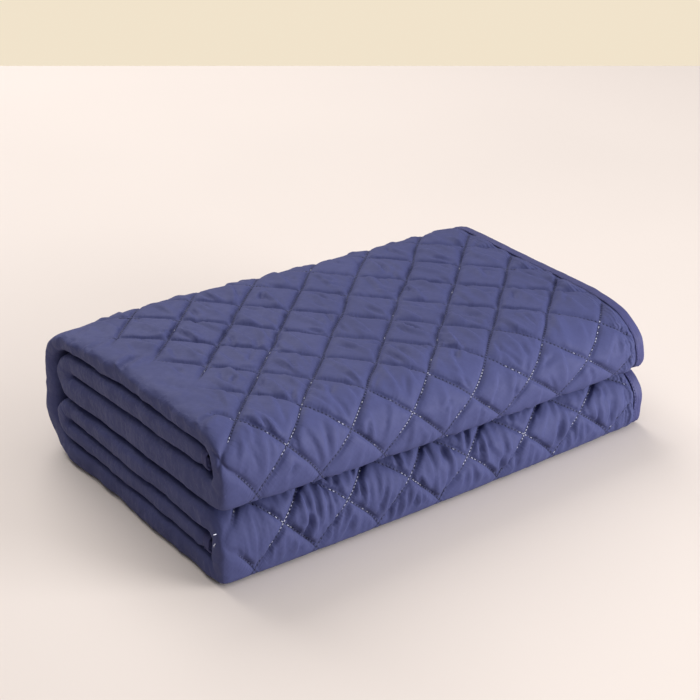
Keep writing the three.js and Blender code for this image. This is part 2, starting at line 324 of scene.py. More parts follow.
def front_room(below, above, front):
    """Half the room that a front turn leaves for the end turned in between its two layers."""

    def half(x):
        y = turn_line(front, x)
        return (floor_of(above, x, y) - floor_of(below, x, y) - thickness(below, x, y)) / 2

    return half


def front_base(above, front, room):
    """Where the straight layers of a front turn begin, along Y."""

    def base(x):
        y = turn_line(front, x)
        return y + thickness(above, x, y) / 2 + room(x)

    return base


def inner_base(below, above):
    """Where the turn of an end inside the spine begins, along Y."""

    def base(x):
        y = spine_start(x)
        skin = thickness(TOP, x, 0.0) / 2
        deep = skin + SPINE_CLEARANCE + mean_thickness(below, above, x, y) + LAYER_GAP / 2
        return turn_line(SPINE, x) - deep

    return base


UPPER_ROOM = front_room(UNDERSIDE, TOP, UPPER_FRONT)
LOWER_ROOM = front_room(BOTTOM, LOWER_TOP, LOWER_FRONT)
UPPER_BASE = front_base(TOP, UPPER_FRONT, UPPER_ROOM)
LOWER_BASE = front_base(LOWER_TOP, LOWER_FRONT, LOWER_ROOM)
UPPER_TURN = inner_base(UNDERSIDE, UPPER_END)
LOWER_TURN = inner_base(LOWER_END, LOWER_TOP)


# Each stretch of the section is a function of x and t, from 0 to 1 along it. It gives the
# middle of the layer (y, z), the way out (ny, nz) and the layer's thickness.


def straight(layer, start, end, facing):
    def place(x, t):
        y = mix(start(x), end(x), t)
        flat = np.zeros_like(y)
        return y, middle_of(layer, x, y), flat, flat + facing, thickness(layer, x, y)

    return place


def half_turn(start, end, base, reach, side, roundness):
    """A turn from layer start to layer end, out from base to the side."""
    lower, upper = min(start, end), max(start, end)
    up = 1 if end > start else -1

    def place(x, t):
        angle = math.pi * (np.clip(t, 1e-6, 1 - 1e-6) - 0.5)
        y = base(x)
        a = reach(x)
        bottom = floor_of(lower, x, y) + thickness(lower, x, y)
        b = (floor_of(upper, x, y) - bottom) / 2
        out = np.cos(angle) ** (2 / roundness)
        rise = up * signed_power(np.sin(angle), 2 / roundness)
        ny = side * out ** (roundness - 1) / a
        nz = signed_power(rise, roundness - 1) / b
        n = np.hypot(ny, nz)
        ny, nz = ny / n, nz / n
        thick = mix(thickness(start, x, y), thickness(end, x, y), (1 + np.sin(angle)) / 2)
        y, z = y + side * a * out, bottom + b + b * rise
        return y + ny * thick / 2, z + nz * thick / 2, ny, nz, thick

    return place


def spine_corner(layer, facing, start, end):
    def place(x, t):
        angle = mix(start, end, t) * math.pi / 2
        y = spine_start(x)
        z = middle_of(layer, x, y) - facing * SPINE_RADIUS
        ny, nz = np.sin(angle), facing * np.cos(angle)
        thick = thickness(layer, x, y) + 0 * angle
        return y + SPINE_RADIUS * ny, z + SPINE_RADIUS * nz, ny, nz, thick

    return place


def spine_straight(x, t):
    y = spine_start(x)
    z = mix(middle_of(TOP, x, y) - SPINE_RADIUS, middle_of(BOTTOM, x, y) + SPINE_RADIUS, t)
    dent = 0.0
    for height, depth, width in SPINE_CREASES:
        crease = depth * np.exp(-np.abs((z - height) / width) ** 1.5)
        dent = dent + crease * np.clip(np.sin(math.pi * t) * 2, 0, 1)
    thick = mix(thickness(TOP, x, y), thickness(BOTTOM, x, y), t)
    return turn_line(SPINE, x) - dent, z, np.ones_like(z), np.zeros_like(z), thick


def front_roundness(x):
    return mix(*FRONT_ROUNDNESS, bound_share(x))


def pinch(x, start, end, base):
    """How much thinner a front turn is pressed at its foremost line."""
    plain = mean_thickness(start, end, x, base(x))
    return np.maximum(plain - FRONT_PINCH, 0) / plain


def front_turn(start, end, base, reach):
    def place(x, t):
        y, z, ny, nz, thick = half_turn(start, end, base, reach, -1, front_roundness(x))(x, t)
        thin = thick * (1 - pinch(x, start, end, base) * np.abs(ny) ** 1.5)
        return y + ny * (thick - thin) / 2, z + nz * (thick - thin) / 2, ny, nz, thin

    return place


def end_edge(base, reach, below, above):
    """Where an end turned in stops, inside its front turn."""

    def edge(x):
        free = reach(x) + pinch(x, below, above, base) * thickness(above, x, base(x))
        return base(x) - free + END_CLEARANCE

    return edge


def inner_reach(x):
    return LAYER_GAP / 2 + 0 * x


UPPER_EDGE = end_edge(UPPER_BASE, UPPER_ROOM, UNDERSIDE, TOP)
LOWER_EDGE = end_edge(LOWER_BASE, LOWER_ROOM, BOTTOM, LOWER_TOP)
STRETCHES = (
    ("upper end", straight(UPPER_END, UPPER_EDGE, UPPER_TURN, 1)),
    ("upper inner turn", half_turn(UPPER_END, UNDERSIDE, UPPER_TURN, inner_reach, 1, 2)),
    ("upper underside", straight(UNDERSIDE, UPPER_TURN, UPPER_BASE, -1)),
    ("upper front", front_turn(UNDERSIDE, TOP, UPPER_BASE, UPPER_ROOM)),
    ("top", straight(TOP, UPPER_BASE, spine_start, 1)),
    ("upper spine", spine_corner(TOP, 1, 0, 1)),
    ("spine", spine_straight),
    ("lower spine", spine_corner(BOTTOM, -1, 1, 0)),
    ("bottom", straight(BOTTOM, spine_start, LOWER_BASE, -1)),
    ("lower front", front_turn(BOTTOM, LOWER_TOP, LOWER_BASE, LOWER_ROOM)),
    ("lower top", straight(LOWER_TOP, LOWER_BASE, LOWER_TURN, 1)),
    ("lower inner turn", half_turn(LOWER_TOP, LOWER_END, LOWER_TURN, inner_reach, 1, 2)),
    ("lower end", straight(LOWER_END, LOWER_TURN, LOWER_EDGE, -1)),
)


class Section:
    """The whole folded section, measured in millimetres along the outside of the cloth."""

    def __init__(self):
        self.tables = []
        self.starts = [0.0]
        t = np.linspace(0, 1, 321)
        for _, place in STRETCHES:
            y, z, ny, nz, thick = place(np.zeros_like(t), t)
            steps = np.hypot(np.diff(y + ny * thick / 2), np.diff(z + nz * thick / 2))
            table = np.concatenate([[0.0], np.cumsum(steps)])
            self.tables.append((table, t))
            self.starts.append(self.starts[-1] + table[-1])
        self.begin = {name: start for (name, _), start in zip(STRETCHES, self.starts)}
        self.length = self.starts[-1]

    def place(self, x, s):
        x, s = np.broadcast_arrays(np.asarray(x, float), np.asarray(s, float))
        result = np.zeros((5,) + x.shape)
        which = np.clip(np.searchsorted(self.starts, s, side="right") - 1, 0, len(STRETCHES) - 1)
        for number, (_, place) in enumerate(STRETCHES):
            mask = which == number
            if mask.any():
                along = np.interp(s[mask] - self.starts[number], *self.tables[number])
                result[:, mask] = np.stack(place(x[mask], along))
        return result


SECTION = Section()
BEGIN = SECTION.begin


def past(stretch, low, high, s):
    """Rises from 0 to 1 between two places, measured from the beginning of a stretch."""
    return smooth(BEGIN[stretch] + low, BEGIN[stretch] + high, s)


def squared(py, pz, centre_y, centre_z, power, plain_power):
    """Pushes the lower front quarter of a turn out towards a square corner."""
    dy, dz = np.minimum(py - centre_y, -1e-6), np.minimum(pz - centre_z, -1e-6)
    r = np.hypot(dy, dz)
    c, s = np.abs(dy / r), np.abs(dz / r)
    plain = (c**plain_power + s**plain_power) ** (-1 / plain_power)
    fuller = (c**power + s**power) ** (-1 / power) / plain
    return py + dy * (fuller - 1), pz + dz * (fuller - 1)


def settled(px, py, pz):
    """The small uneven shifts of the whole pack: square lower corners along the front, a
    drooping front edge, a sunken back corner, a leaning spine and a skewed bound end."""
    bound, plain = bound_share(px), front_roundness(px)
    in_upper = pz > floor_of(UNDERSIDE, px, py) - (LAYER_GAP + PACK_GAP) / 2
    upper = (UPPER_BASE, UNDERSIDE, TOP, UPPER_SQUARE)
    lower = (LOWER_BASE, BOTTOM, LOWER_TOP, LOWER_SQUARE)
    turned = []
    for base, below, above, square in (upper, lower):
        y = base(px)
        z = (middle_of(below, px, y) + middle_of(above, px, y)) / 2
        turned.append(squared(py, pz, y, z, mix(*square, bound), plain))
    py, pz = (np.where(in_upper, *both) for both in zip(*turned))
    front_y = turn_line(UPPER_FRONT, px)
    front = front_y - thickness(TOP, px, front_y) / 2
    share = pz / (floor_of(TOP, px, py) + thickness(TOP, px, py))
    droop = mix(DROOP[0], DROOP[1], bound) * hill(py - front, DROOP[2])
    sunk = SINK[0] * hill(px + HALF, SINK[1]) * hill(py - SPINE[0], SINK[2])
    pz = pz - (droop + sunk) * share**2
    foot = np.clip(1 - share, 0, 1)
    back = np.clip((py - LEAN_FROM) / LEAN_FADE, 0, 1)
    py = py + back * (LEAN * foot + BULGE * np.sin(math.pi * foot))
    px = px + bound**3 * (mix(*STRETCH_END, foot) - SKEW * py)
    return np.stack([px, py, np.maximum(pz, 0)], -1) + SHIFT


def round_fold(u):
    """x, and the angle round the soft fold, at a place across the cloth."""
    angle = np.clip((FOLD_CENTRE - u) / FOLD_ARC, 0, 1) * math.pi
    inner = FOLD_CENTRE + (FOLD_CENTRE - FOLD_ARC - u)
    x = np.where(u < FOLD_CENTRE - FOLD_ARC, inner, np.maximum(u, FOLD_CENTRE))
    return x, angle


def cloth_point(u, s, depth):
    """A point of the cloth, in the part's frame: u is across the cloth, over the outer ply and
    on round the soft fold to the inner one, and depth is out from the middle of the ply."""
    x, angle = round_fold(u)
    y, z, ny, nz, thick = SECTION.place(x, s)
    side = np.abs(np.sin(angle)) ** (2 / FOLD_SQUARE)
    out = ((thick - PLY) / 2 + depth) * signed_power(np.cos(angle), 2 / FOLD_SQUARE)
    lumps = wander(s / 31, s * 0 + 0.5, 41) + 0.5 * wander(s / 9, angle * 0.8, 42)
    lumps = lumps + 0.25 * wander(s / 4.5 + angle, angle * 2.5, 44)
    px = x - (FOLD_RADIUS + depth) * side - FOLD_LUMPS * lumps * side**2
    waver = wander(s / 37 + 0.8 * angle, s * 0 + angle, 43)
    waver = waver + 0.35 * wander(s / 9 + 2 * angle, s * 0 + angle, 45)
    px = px + BOUND_WAVER * bound_share(x) ** 12 * waver
    return settled(px, y + ny * out, z + nz * out)


# ---- Seams ------------------------------------------------------------------------------


class Quilting:
    """Turns seam columns and rows into places on the cloth. Seams cross where the column and
    the row are whole and their sum is even, and run diagonally between the crossings."""

    def __init__(self):
        row0 = BEGIN["top"] + SEAM_ROW - float(UPPER_BASE(np.zeros(1))[0])
        lower = (BEGIN["lower front"] + BEGIN["lower top"]) / 2 + LOWER_RISE
        bend, length = BEGIN["bottom"], SECTION.length
        self.places = [0.0, bend, lower - LOWER_REACH, lower, length]
        self.rows = [
            -row0 / HALF_PITCH,
            (bend - row0) / HALF_PITCH,
            LOWER_ROW - LOWER_REACH / HALF_PITCH,
            LOWER_ROW,
            LOWER_ROW + (length - lower) / HALF_PITCH,
        ]
        self.drift = (bend, lower - LOWER_REACH)
        self.fold = (FOLD_CENTRE - SEAM_COLUMN) / HALF_PITCH
        self.edge = (CLOTH_EDGE - SEAM_COLUMN) / HALF_PITCH
        self.fold_span = FOLD_ARC / HALF_PITCH

    def along(self, row):
        return np.interp(row, self.rows, self.places)

    def row_at(self, s):
        return np.interp(s, self.places, self.rows)

    def across(self, column, s):
        """How far across the cloth a seam column lies: X on the outer ply, and on round the
        soft fold to the inner one."""
        first = mix(SEAM_COLUMN, LOWER_SEAM_COLUMN, smooth(*self.drift, s))
        last = first + LAST_COLUMN * HALF_PITCH
        u = first + column * HALF_PITCH
        u = np.where(column < 0, mix(first, FOLD_CENTRE, column / self.fold), u)
        beyond = (column - LAST_COLUMN) / (self.edge - LAST_COLUMN)
        u = np.where(column > LAST_COLUMN, mix(last, CLOTH_EDGE, beyond), u)
        inside = smooth(0, 1, column) * smooth(self.edge, self.edge - 1, column)
        u = u + SEAM_WAVER * inside * wander(column * 0.8 + 3, s / 21, 51)
        return np.where(column < self.fold, FOLD_CENTRE + (column - self.fold) * HALF_PITCH, u)


QUILTING = Quilting()


def whole_steps(low, high, count):
    """Values from low to high at whole fractions, with both ends kept."""
    first, last = math.ceil(low * count + 0.3), math.floor(high * count - 0.3)
    return np.concatenate([[low], np.arange(first, last + 1) / count, [high]])


class Grid:
    """The fine grid of seam columns and rows that every surface of the cloth is taken from."""

    def __init__(self):
        q = QUILTING
        outer = whole_steps(q.fold, q.edge, CELLS)[::-1]
        steps = round(q.fold_span * CELLS)
        fold = np.linspace(q.fold, q.fold - q.fold_span, steps + 1)[1:-1]
        inner = q.fold - q.fold_span - (outer[::-1] - q.fold)
        self.columns = np.concatenate([outer, fold, inner])
        rows = whole_steps(q.rows[0], q.rows[-1], CELLS)
        self.places = q.along(rows)
        self.column, self.row = np.meshgrid(self.columns, rows)
        self.shape = self.column.shape
        self.s = np.broadcast_to(self.places[:, None], self.shape)
        self.u = q.across(self.column, self.s)


GRID = Grid()


def edge_inset(u, s):
    """How far a point lies in from the nearest edge of the cloth."""
    x, _ = round_fold(u)
    return np.minimum(CLOTH_EDGE - x, np.minimum(s, SECTION.length - s))


def clear_of_tape(u, s):
    return smooth(TAPE_REACH, LOFT_REACH, edge_inset(u, s))


def half_ply(u, s):
    """Half the plain cloth's thickness, pressed thin inside the binding."""
    return mix(PLY_AT_EDGE, PLY, clear_of_tape(u, s)) / 2


def seam_distances(column, row):
    """The distances to the nearest seam of each diagonal direction, in millimetres."""
    diagonals = (column + row) / 2, (column - row) / 2
    return [np.abs(diagonal - np.round(diagonal)) * SEAM_SIDE for diagonal in diagonals]


def quilted_zone(column, s):
    """1 where the quilting shows, and 0 on the smooth band along the soft fold."""
    on_upper = past("upper front", -10, 10, s) * past("top", 14, -10, s)
    spread = FRONT_SPREAD * (on_upper + past("lower front", 0, 20, s))
    spread = spread + BACK_SPREAD * past("upper spine", -80, -40, s) * past("upper spine", 40, 0, s)
    return smooth(*BAND_END, column + 0.5 * wander(s / 40, s * 0, 3) + spread)


def shown_zone(s):
    """1 on the stretches that can be seen from outside."""
    return past("upper front", -16, -8, s) * past("lower top", 16, 8, s)


def relief_zone(column, u, s):
    return quilted_zone(column, s) * shown_zone(s) * clear_of_tape(u, s)


def swell(column, row):
    """0 on the seams, rising to 1 in the middle of the diamonds."""
    value = 1.0
    for distance in seam_distances(column, row):
        value = value * (1 - (1 - np.clip(distance / SWELL_REACH, 0, 1)) ** 2.4)
    return value


def pressed(row, s):
    """How much of the relief is left: less under the two fronts and on the back edge."""
    upper = mix(PRESSED_SHARE, 1, smooth(*PRESSED_ROWS, row))
    off_floor = sum(past("lower front", *ends, s) for ends in FLOOR_ENDS)
    share, place, reach = BACK_PRESS
    back = 1 - share * hill(s - BEGIN["upper spine"] - place, reach)
    return upper * mix(FLOOR_SHARE, 1, off_floor) * back


# ---- Pleats and creases -----------------------------------------------------------------


def pucker(across, gentle, steep):
    """A fold's profile: a sharp crest between two plain slopes, with a valley at the foot of
    the steep one."""
    slope = np.where(across < 0, -across / gentle, across / steep)
    return np.clip(1 - slope, 0, 1) - 0.3 * hill(across - steep, 1.6)


def crease(across, width, sharpness, lip, lip_place, lip_width):
    """A narrow valley with a soft lip on both sides."""
    valley = -np.exp(-(np.abs(across / width) ** sharpness))
    return valley + lip * hill(np.abs(across) - lip_place * width, lip_width * width)


def stroke(du, ds, lean, bow):
    """How far points lie across and along a slightly bowed line that leans off the cloth's
    length."""
    across = du * math.cos(lean) - ds * math.sin(lean) + bow * ds * ds
    return across, ds * math.cos(lean) + du * math.sin(lean)


def pleat_kind(s):
    if s < BEGIN["top"] - 4:
        return "upper front"
    return "lower front" if s > BEGIN["lower front"] - 20 else "top"


def diamond_pleats(du, ds, kind, random):
    """The folds and the narrow creases of one diamond, at distances from its middle."""
    count, size, gentle, steep, lean, narrow, narrow_size, narrow_length = kind
    height = np.zeros_like(du)
    pleats = random.randint(count[0], count[1] + 1)
    for number in range(pleats):
        place = PLEAT_ROW[0] * ((number + 0.5) / pleats - 0.5)
        offset = place + random.uniform(-PLEAT_STRAY[0], PLEAT_STRAY[0])
        tilt = random.normal(lean, LEAN_SPREAD)
        across, along = stroke(du - offset, ds, tilt, random.uniform(-PLEAT_BOW, PLEAT_BOW))
        length = (1 - np.abs(offset) / PLEAT_ROW[1]) * HALF_PITCH * random.uniform(0.6, 1.0)
        middle = random.uniform(-PLEAT_STRAY[1], PLEAT_STRAY[1])
        fade = np.clip(1 - ((along - middle) / length) ** 2, 0, 1)
        side = -1 if random.uniform() < TURNED_PLEATS else 1
        profile = pucker(side * across, random.uniform(*gentle), random.uniform(*steep))
        height += random.uniform(*size) * fade * profile
    for _ in range(random.randint(narrow[0], narrow[1] + 1)):
        sideways, onward = random.uniform(-0.45, 0.45, 2) @ ((1, 1), (1, -1)) * HALF_PITCH
        tilt = random.normal(lean, 5 / narrow_length[0])
        bow = random.uniform(-CREASE_BOW, CREASE_BOW)
        across, along = stroke(du - sideways, ds - onward, tilt, bow)
        fade = np.clip(1 - (2 * along / random.uniform(*narrow_length)) ** 2, 0, 1)
        profile = crease(across, random.uniform(*CREASE_WIDTH), 1.2, 0.45, 2.2, 1.3)
        height += random.uniform(*narrow_size) * fade * profile
    return height


def pleats_of_diamonds(u, s, column, row):
    """The puckers of every diamond: a fold or two on the top and on the upper front, and a
    row of pleats on the lower front."""
    random = np.random.RandomState(21)
    height = np.zeros_like(u)
    rows = range(math.ceil(row.min()), math.floor(row.max()) + 1)
    diamonds = [(r, c) for r in rows for c in range(LAST_COLUMN + 2)] + [(r, -1) for r in rows]
    for r, c in diamonds:
        near = (np.abs(row[:, 0] - r) < 1.1, np.abs(column[0] - c) < 1.1)
        if (r + c) % 2 == 0 or not (near[0].any() and near[1].any()):
            continue
        window = np.ix_(*near)
        middle_u, middle_s = u[window].mean(), s[window].mean()
        kind = PLEATS[pleat_kind(middle_s)]
        calm = CALM_END if c < 1 and r > LOWER_ROW - 4 else 1
        height[window] += calm * diamond_pleats(u[window] - middle_u, s[window] - middle_s, kind, random)
    return height


def band_creases(u, s):
    """The few creases of the smooth band beside the soft fold."""
    height = np.zeros_like(u)
    for x0, y0, x1, y1, depth, width in BAND_CREASES:
        start, end = (BEGIN["top"] + y - UPPER_BASE(x0) for y in (y0, y1))
        length = math.hypot(x1 - x0, end - start)
        along_u, along_s = (x1 - x0) / length, (end - start) / length
        along = (u - x0) * along_u + (s - start) * along_s
        across = (u - x0) * along_s - (s - start) * along_u
        fade = smooth(-4, 3, along) * smooth(length + 4, length - 3, along)
        height += depth * fade * crease(across, width, 1.3, 0.7, 2.4, 1.5)
    return height


def edge_pleats(u, s):
    """Narrow pleats along the binding where the cloth turns down over the fronts."""
    height, spacing, reach = EDGE_PLEATS
    inset = edge_inset(u, s)
    on_fronts = past("upper front", 0, 15, s) * past("top", 12, -12, s) + past("lower front", 10, 30, s)
    fade = smooth(TAPE_REACH, TAPE_REACH + 1.5, inset) * smooth(reach + 5, reach - 4, inset)
    phase = inset / spacing + 0.5 * wander(s / 16, s * 0, 71)
    share = 0.6 + 0.5 * wander(s / 12, phase * 0.6, 72)
    return height * share * on_fronts * fade * np.sin(2 * math.pi * phase)


# ---- The relaxed face -------------------------------------------------------------------


def neighbours(shape):
    """Pairs of slices that join each point of a grid to the next one across it, along it and
    on both diagonals. Within a pair no point comes twice."""
    whole, first, rest = slice(None), slice(None, -1), slice(1, None)
    for direction in ("across", "along", "falling", "rising"):
        last = shape[0 if direction == "along" else 1] - 1
        for parity in (0, 1):
            steps = range(parity, last, 2)
            low, high = slice(parity, last, 2), slice(parity + 1, parity + 1 + 2 * len(steps), 2)
            yield {
                "across": ((whole, low), (whole, high)),
                "along": ((low, whole), (high, whole)),
                "falling": ((first, low), (rest, high)),
                "rising": ((first, high), (rest, low)),
            }[direction]


def threads_between(u, s, slack, movable):
    """The links of the face: both slices, the length they keep, and each end's share of a
    move."""
    flat = np.stack([u, s], -1)
    for a, b in neighbours(u.shape):
        gap = (flat[b] - flat[a]) * (1 + (slack[a] + slack[b]) / 2)
        weight = movable[a] + movable[b] + 1e-9
        length = np.hypot(gap[..., 0], gap[..., 1])
        yield a, b, length, (movable[a] / weight)[..., None], (movable[b] / weight)[..., None]


def crisp_relief(u, s, column, row, zone, seam_depth, crease_depth):
    """The sharp part of the relief, which isn't relaxed: pleats, ditches and creases."""
    pleats = swell(column, row) * pleats_of_diamonds(u, s, column, row) * crease_depth
    ditch = DITCH_SHARE * seam_depth * np.exp(-np.minimum(*seam_distances(column, row)) / DITCH_WIDTH)
    return zone * (pleats - ditch) + band_creases(u, s) * clear_of_tape(u, s) + edge_pleats(u, s)


def relaxed_face(settings):
    """The outer face where it shows, relaxed in the flat: the filling pushes it out, the seams
    hold it down and its slack gathers into puckers. Gives the piece of the grid, where its
    points have slid to, and their heights."""
    rows = np.searchsorted(
        GRID.places, [BEGIN["upper front"] - RELIEF_MARGIN, BEGIN["lower top"] + RELIEF_MARGIN]
    )
    columns = np.searchsorted(-GRID.columns, RELIEF_COLUMNS - QUILTING.fold)
    cut = slice(*rows), slice(0, columns)
    column, row, u, s = GRID.column[cut], GRID.row[cut], GRID.u[cut], GRID.s[cut]
    seam_depth, puff_rise = settings.seam_depth / MM, settings.puff_rise / MM
    zone = relief_zone(column, u, s)
    held = (np.minimum(*seam_distances(column, row)) < SEWN) & (zone > SEWN_ZONE)
    rest_height = zone * mix(-(1 - DITCH_SHARE) * seam_depth, puff_rise, swell(column, row))
    broad = wander(u / 24 + 7, s / 30, 14) + 0.6 * wander(u / 11, s / 13, 15)
    rest_height += BAND_WAVE * (1 - zone) * shown_zone(s) * broad
    strokes = wander(u / 4.6, s / 24.0, 11) + 0.7 * wander(u / 8.0 + s / 70, s / 40.0, 12)
    points = np.stack([u, s, rest_height + 0.5 * zone * strokes], -1)
    movable = (~held).astype(float)
    movable[0], movable[-1], movable[:, 0], movable[:, -1] = 0, 0, 0, 0
    free = movable[1:-1, 1:-1]
    patch = PATCHES[0] + PATCHES[1] * wander(u / PATCHES[2], s / PATCHES[2], 13)
    slack = (zone * patch)[..., None] * mix(*SLACK, past("lower front", -20, 5, s)[..., None])
    links = list(threads_between(u, s, slack, movable))
    on_floor = past("bottom", -20, 0, s) * (1 - past("lower front", 0, 14, s))
    ceiling = mix(*HIGHEST, on_floor)
    for _ in range(ROUNDS):
        height = points[..., 2]
        height += FILLING * (rest_height - height) * movable
        np.minimum(height, ceiling, out=height)
        for a, b, rest, share_a, share_b in links:
            gap = points[b] - points[a]
            length = np.sqrt((gap * gap).sum(-1))
            push = gap * ((length - rest) / np.maximum(length, 1e-6))[..., None]
            points[a] += push * share_a
            points[b] -= push * share_b
        bump = height - rest_height
        around = bump[2:, 1:-1] + bump[:-2, 1:-1] + bump[1:-1, 2:] + bump[1:-1, :-2]
        height[1:-1, 1:-1] += STIFFNESS * (around - 4 * bump[1:-1, 1:-1]) * free
    crisp = crisp_relief(u, s, column, row, zone, seam_depth, settings.crease_depth / MM)
    return cut, points, np.minimum((points[..., 2] + crisp) * pressed(row, s), ceiling)


# ---- Meshes -----------------------------------------------------------------------------

BLOCK = 8  # grid cells in the side of the coarsest leaf
FINE_MARGIN = 12.0  # how far past the two fronts the outer face stays fine
TURN_MARGIN = 8.0  # how far past a turn both faces are finer
OUTER_FOLD = (-0.4, 0.5)  # how many columns past the soft fold they are, on either side
INNER_FOLD = (-0.3, 0.3)


def grid_leaves(level_of):
    """The grid cut into leaves, each from row to row and from column to column: every block of
    it is split as finely as level_of asks."""
    rows, columns = (count - 1 for count in GRID.shape)
    leaves = []
    for j in range(0, rows, BLOCK):
        for i in range(0, columns, BLOCK):
            middle = min(j + BLOCK // 2, rows), min(i + BLOCK // 2, columns)
            step = 2 ** level_of(GRID.places[middle[0]], GRID.columns[middle[1]])
            for low in range(j, min(j + BLOCK, rows), step):
                for left in range(i, min(i + BLOCK, columns), step):
                    leaves.append((low, min(low + step, rows), left, min(left + step, columns)))
    return np.array(leaves)


def outer_level(s, column):
    """How coarse the outer face is: 0 where it is seen, up to 3 inside the pack."""
    fold, far = QUILTING.fold, QUILTING.fold - QUILTING.fold_span
    shown = BEGIN["upper front"] - FINE_MARGIN < s < BEGIN["spine"]
    shown = shown or BEGIN["lower front"] - FINE_MARGIN < s < BEGIN["lower top"] + FINE_MARGIN
    if shown and column > far:
        return 0
    on_spine = BEGIN["spine"] <= s <= BEGIN["bottom"] + TURN_MARGIN
    at_fold = far + OUTER_FOLD[0] < column < fold + OUTER_FOLD[1]
    if at_fold or on_spine and column > fold:
        return 1
    return 2 if BEGIN["bottom"] < s < BEGIN["lower front"] and column > fold else 3


def inner_level(s, column):
    """How coarse the inner face is: finer round the soft fold and where the section turns."""
    fold, far = QUILTING.fold, QUILTING.fold - QUILTING.fold_span
    if far + INNER_FOLD[0] < column < fold + INNER_FOLD[1]:
        return 1
    for (name, _), start, end in zip(STRETCHES, SECTION.starts, SECTION.starts[1:]):
        turning = "turn" in name or "front" in name or "spine" in name
        if turning and start - TURN_MARGIN < s < end + TURN_MARGIN:
            return 2
    return 3


def leaf_polygons(leaves, used, number, rising):
    """Polygons of the leaves. The smallest are split along the seam that crosses them."""
    small = (leaves[:, 1] - leaves[:, 0] == 1) & (leaves[:, 3] - leaves[:, 2] == 1)
    j0, j1, i0, i1 = leaves[small].T
    a, b, c, d = number[j0, i0], number[j0, i1], number[j1, i1], number[j1, i0]
    split = rising[j0, i0][:, None]
    first = np.where(split, np.stack([a, b, c], 1), np.stack([a, b, d], 1))
    second = np.where(split, np.stack([a, c, d], 1), np.stack([b, c, d], 1))
    polygons = np.concatenate([first, second]).tolist()
    for j0, j1, i0, i1 in leaves[~small]:
        low = np.flatnonzero(used[j0, i0:i1]) + i0
        right = np.flatnonzero(used[j0:j1, i1]) + j0
        high = np.flatnonzero(used[j1, i0 + 1 : i1 + 1])[::-1] + i0 + 1
        left = np.flatnonzero(used[j0 + 1 : j1 + 1, i0])[::-1] + j0 + 1
        sides = number[j0, low], number[right, i1], number[j1, high], number[left, i0]
        polygons.append(np.concatenate(sides).tolist())
    return polygons


def grid_outline(shape):
    """The rows and the columns of the points all round a grid."""
    row, column = (np.arange(count) for count in shape)
    down, back, up = row[1:], column[-2::-1], row[-2:0:-1]
    rows = (0 * column, down, 0 * back + row[-1], up)
    columns = (column, 0 * down + column[-1], back, 0 * up)
    return np.stack([np.concatenate(rows), np.concatenate(columns)])


def mesh_object(name, points, polygons, material):
    mesh = bpy.data.meshes.new(name)
    mesh.from_pydata((points * MM).tolist(), [], polygons)
    mesh.validate()
    mesh.shade_smooth()
    mesh.materials.append(material)
    obj = bpy.data.objects.new(name, mesh)
    bpy.context.scene.collection.objects.link(obj)
    return obj


def add_uv(obj, name, values):
    """A map that holds a pair of values for every vertex."""
    corners = np.zeros(len(obj.data.loops), int)
    obj.data.loops.foreach_get("vertex_index", corners)
    layer = obj.data.uv_layers.new(name=name)
    layer.data.foreach_set("uv", values[corners].ravel())


def build_cloth(material, settings):
    """One closed skin: the relaxed outer face, the plain inner face and the rim between them."""
    g = GRID
    plain = half_ply(g.u, g.s)
    u, s, depth = g.u.copy(), g.s.copy(), plain.copy()
    cut, slid, relief = relaxed_face(settings)
    u[cut], s[cut] = slid[..., 0], slid[..., 1]
    depth[cut] += relief
    faces = np.stack([cloth_point(u, s, depth), cloth_point(g.u, g.s, -plain)])

    leaves = [grid_leaves(level_of) for level_of in (outer_level, inner_level)]
    used = np.zeros((2,) + g.shape, bool)
    for face, (j0, j1, i0, i1) in enumerate(ply.T for ply in leaves):
        for j in (j0, j1):
            used[face, j, i0] = used[face, j, i1] = True
    rim = grid_outline(g.shape)
    rim = rim[:, used[:, rim[0], rim[1]].any(0)]
    used[:, rim[0], rim[1]] = True
    number = np.cumsum(used).reshape(used.shape) - 1

    middles = ((values[:-1, :-1] + values[1:, 1:]) / 2 for values in (g.column, g.row))
    plus, minus = seam_distances(*middles)
    polygons = leaf_polygons(leaves[0], used[0], number[0], plus <= minus)
    inner = leaf_polygons(leaves[1], used[1], number[1], plus <= minus)
    polygons += [polygon[::-1] for polygon in inner]
    a, b = number[:, rim[0], rim[1]]
    polygons += np.stack([np.roll(a, -1), a, b, np.roll(b, -1)], 1).tolist()
    cloth = mesh_object("quilted_cover", faces[used], polygons, material)

    zone = relief_zone(g.column, g.u, g.s) * (g.columns > QUILTING.fold)
    turned = smooth(0, 0.6, np.sin(round_fold(g.u)[1]))
    maps = {
        "cloth": [(g.u * MM, g.s * MM)] * 2,
        "seams": [((g.column + g.row) / 2, (g.column - g.row) / 2)] * 2,
        "zone": [(zone, turned), (0 * zone, turned)],
    }
    for name, pairs in maps.items():
        add_uv(cloth, name, np.stack([np.stack(pair, -1) for pair in pairs])[used])
    return cloth


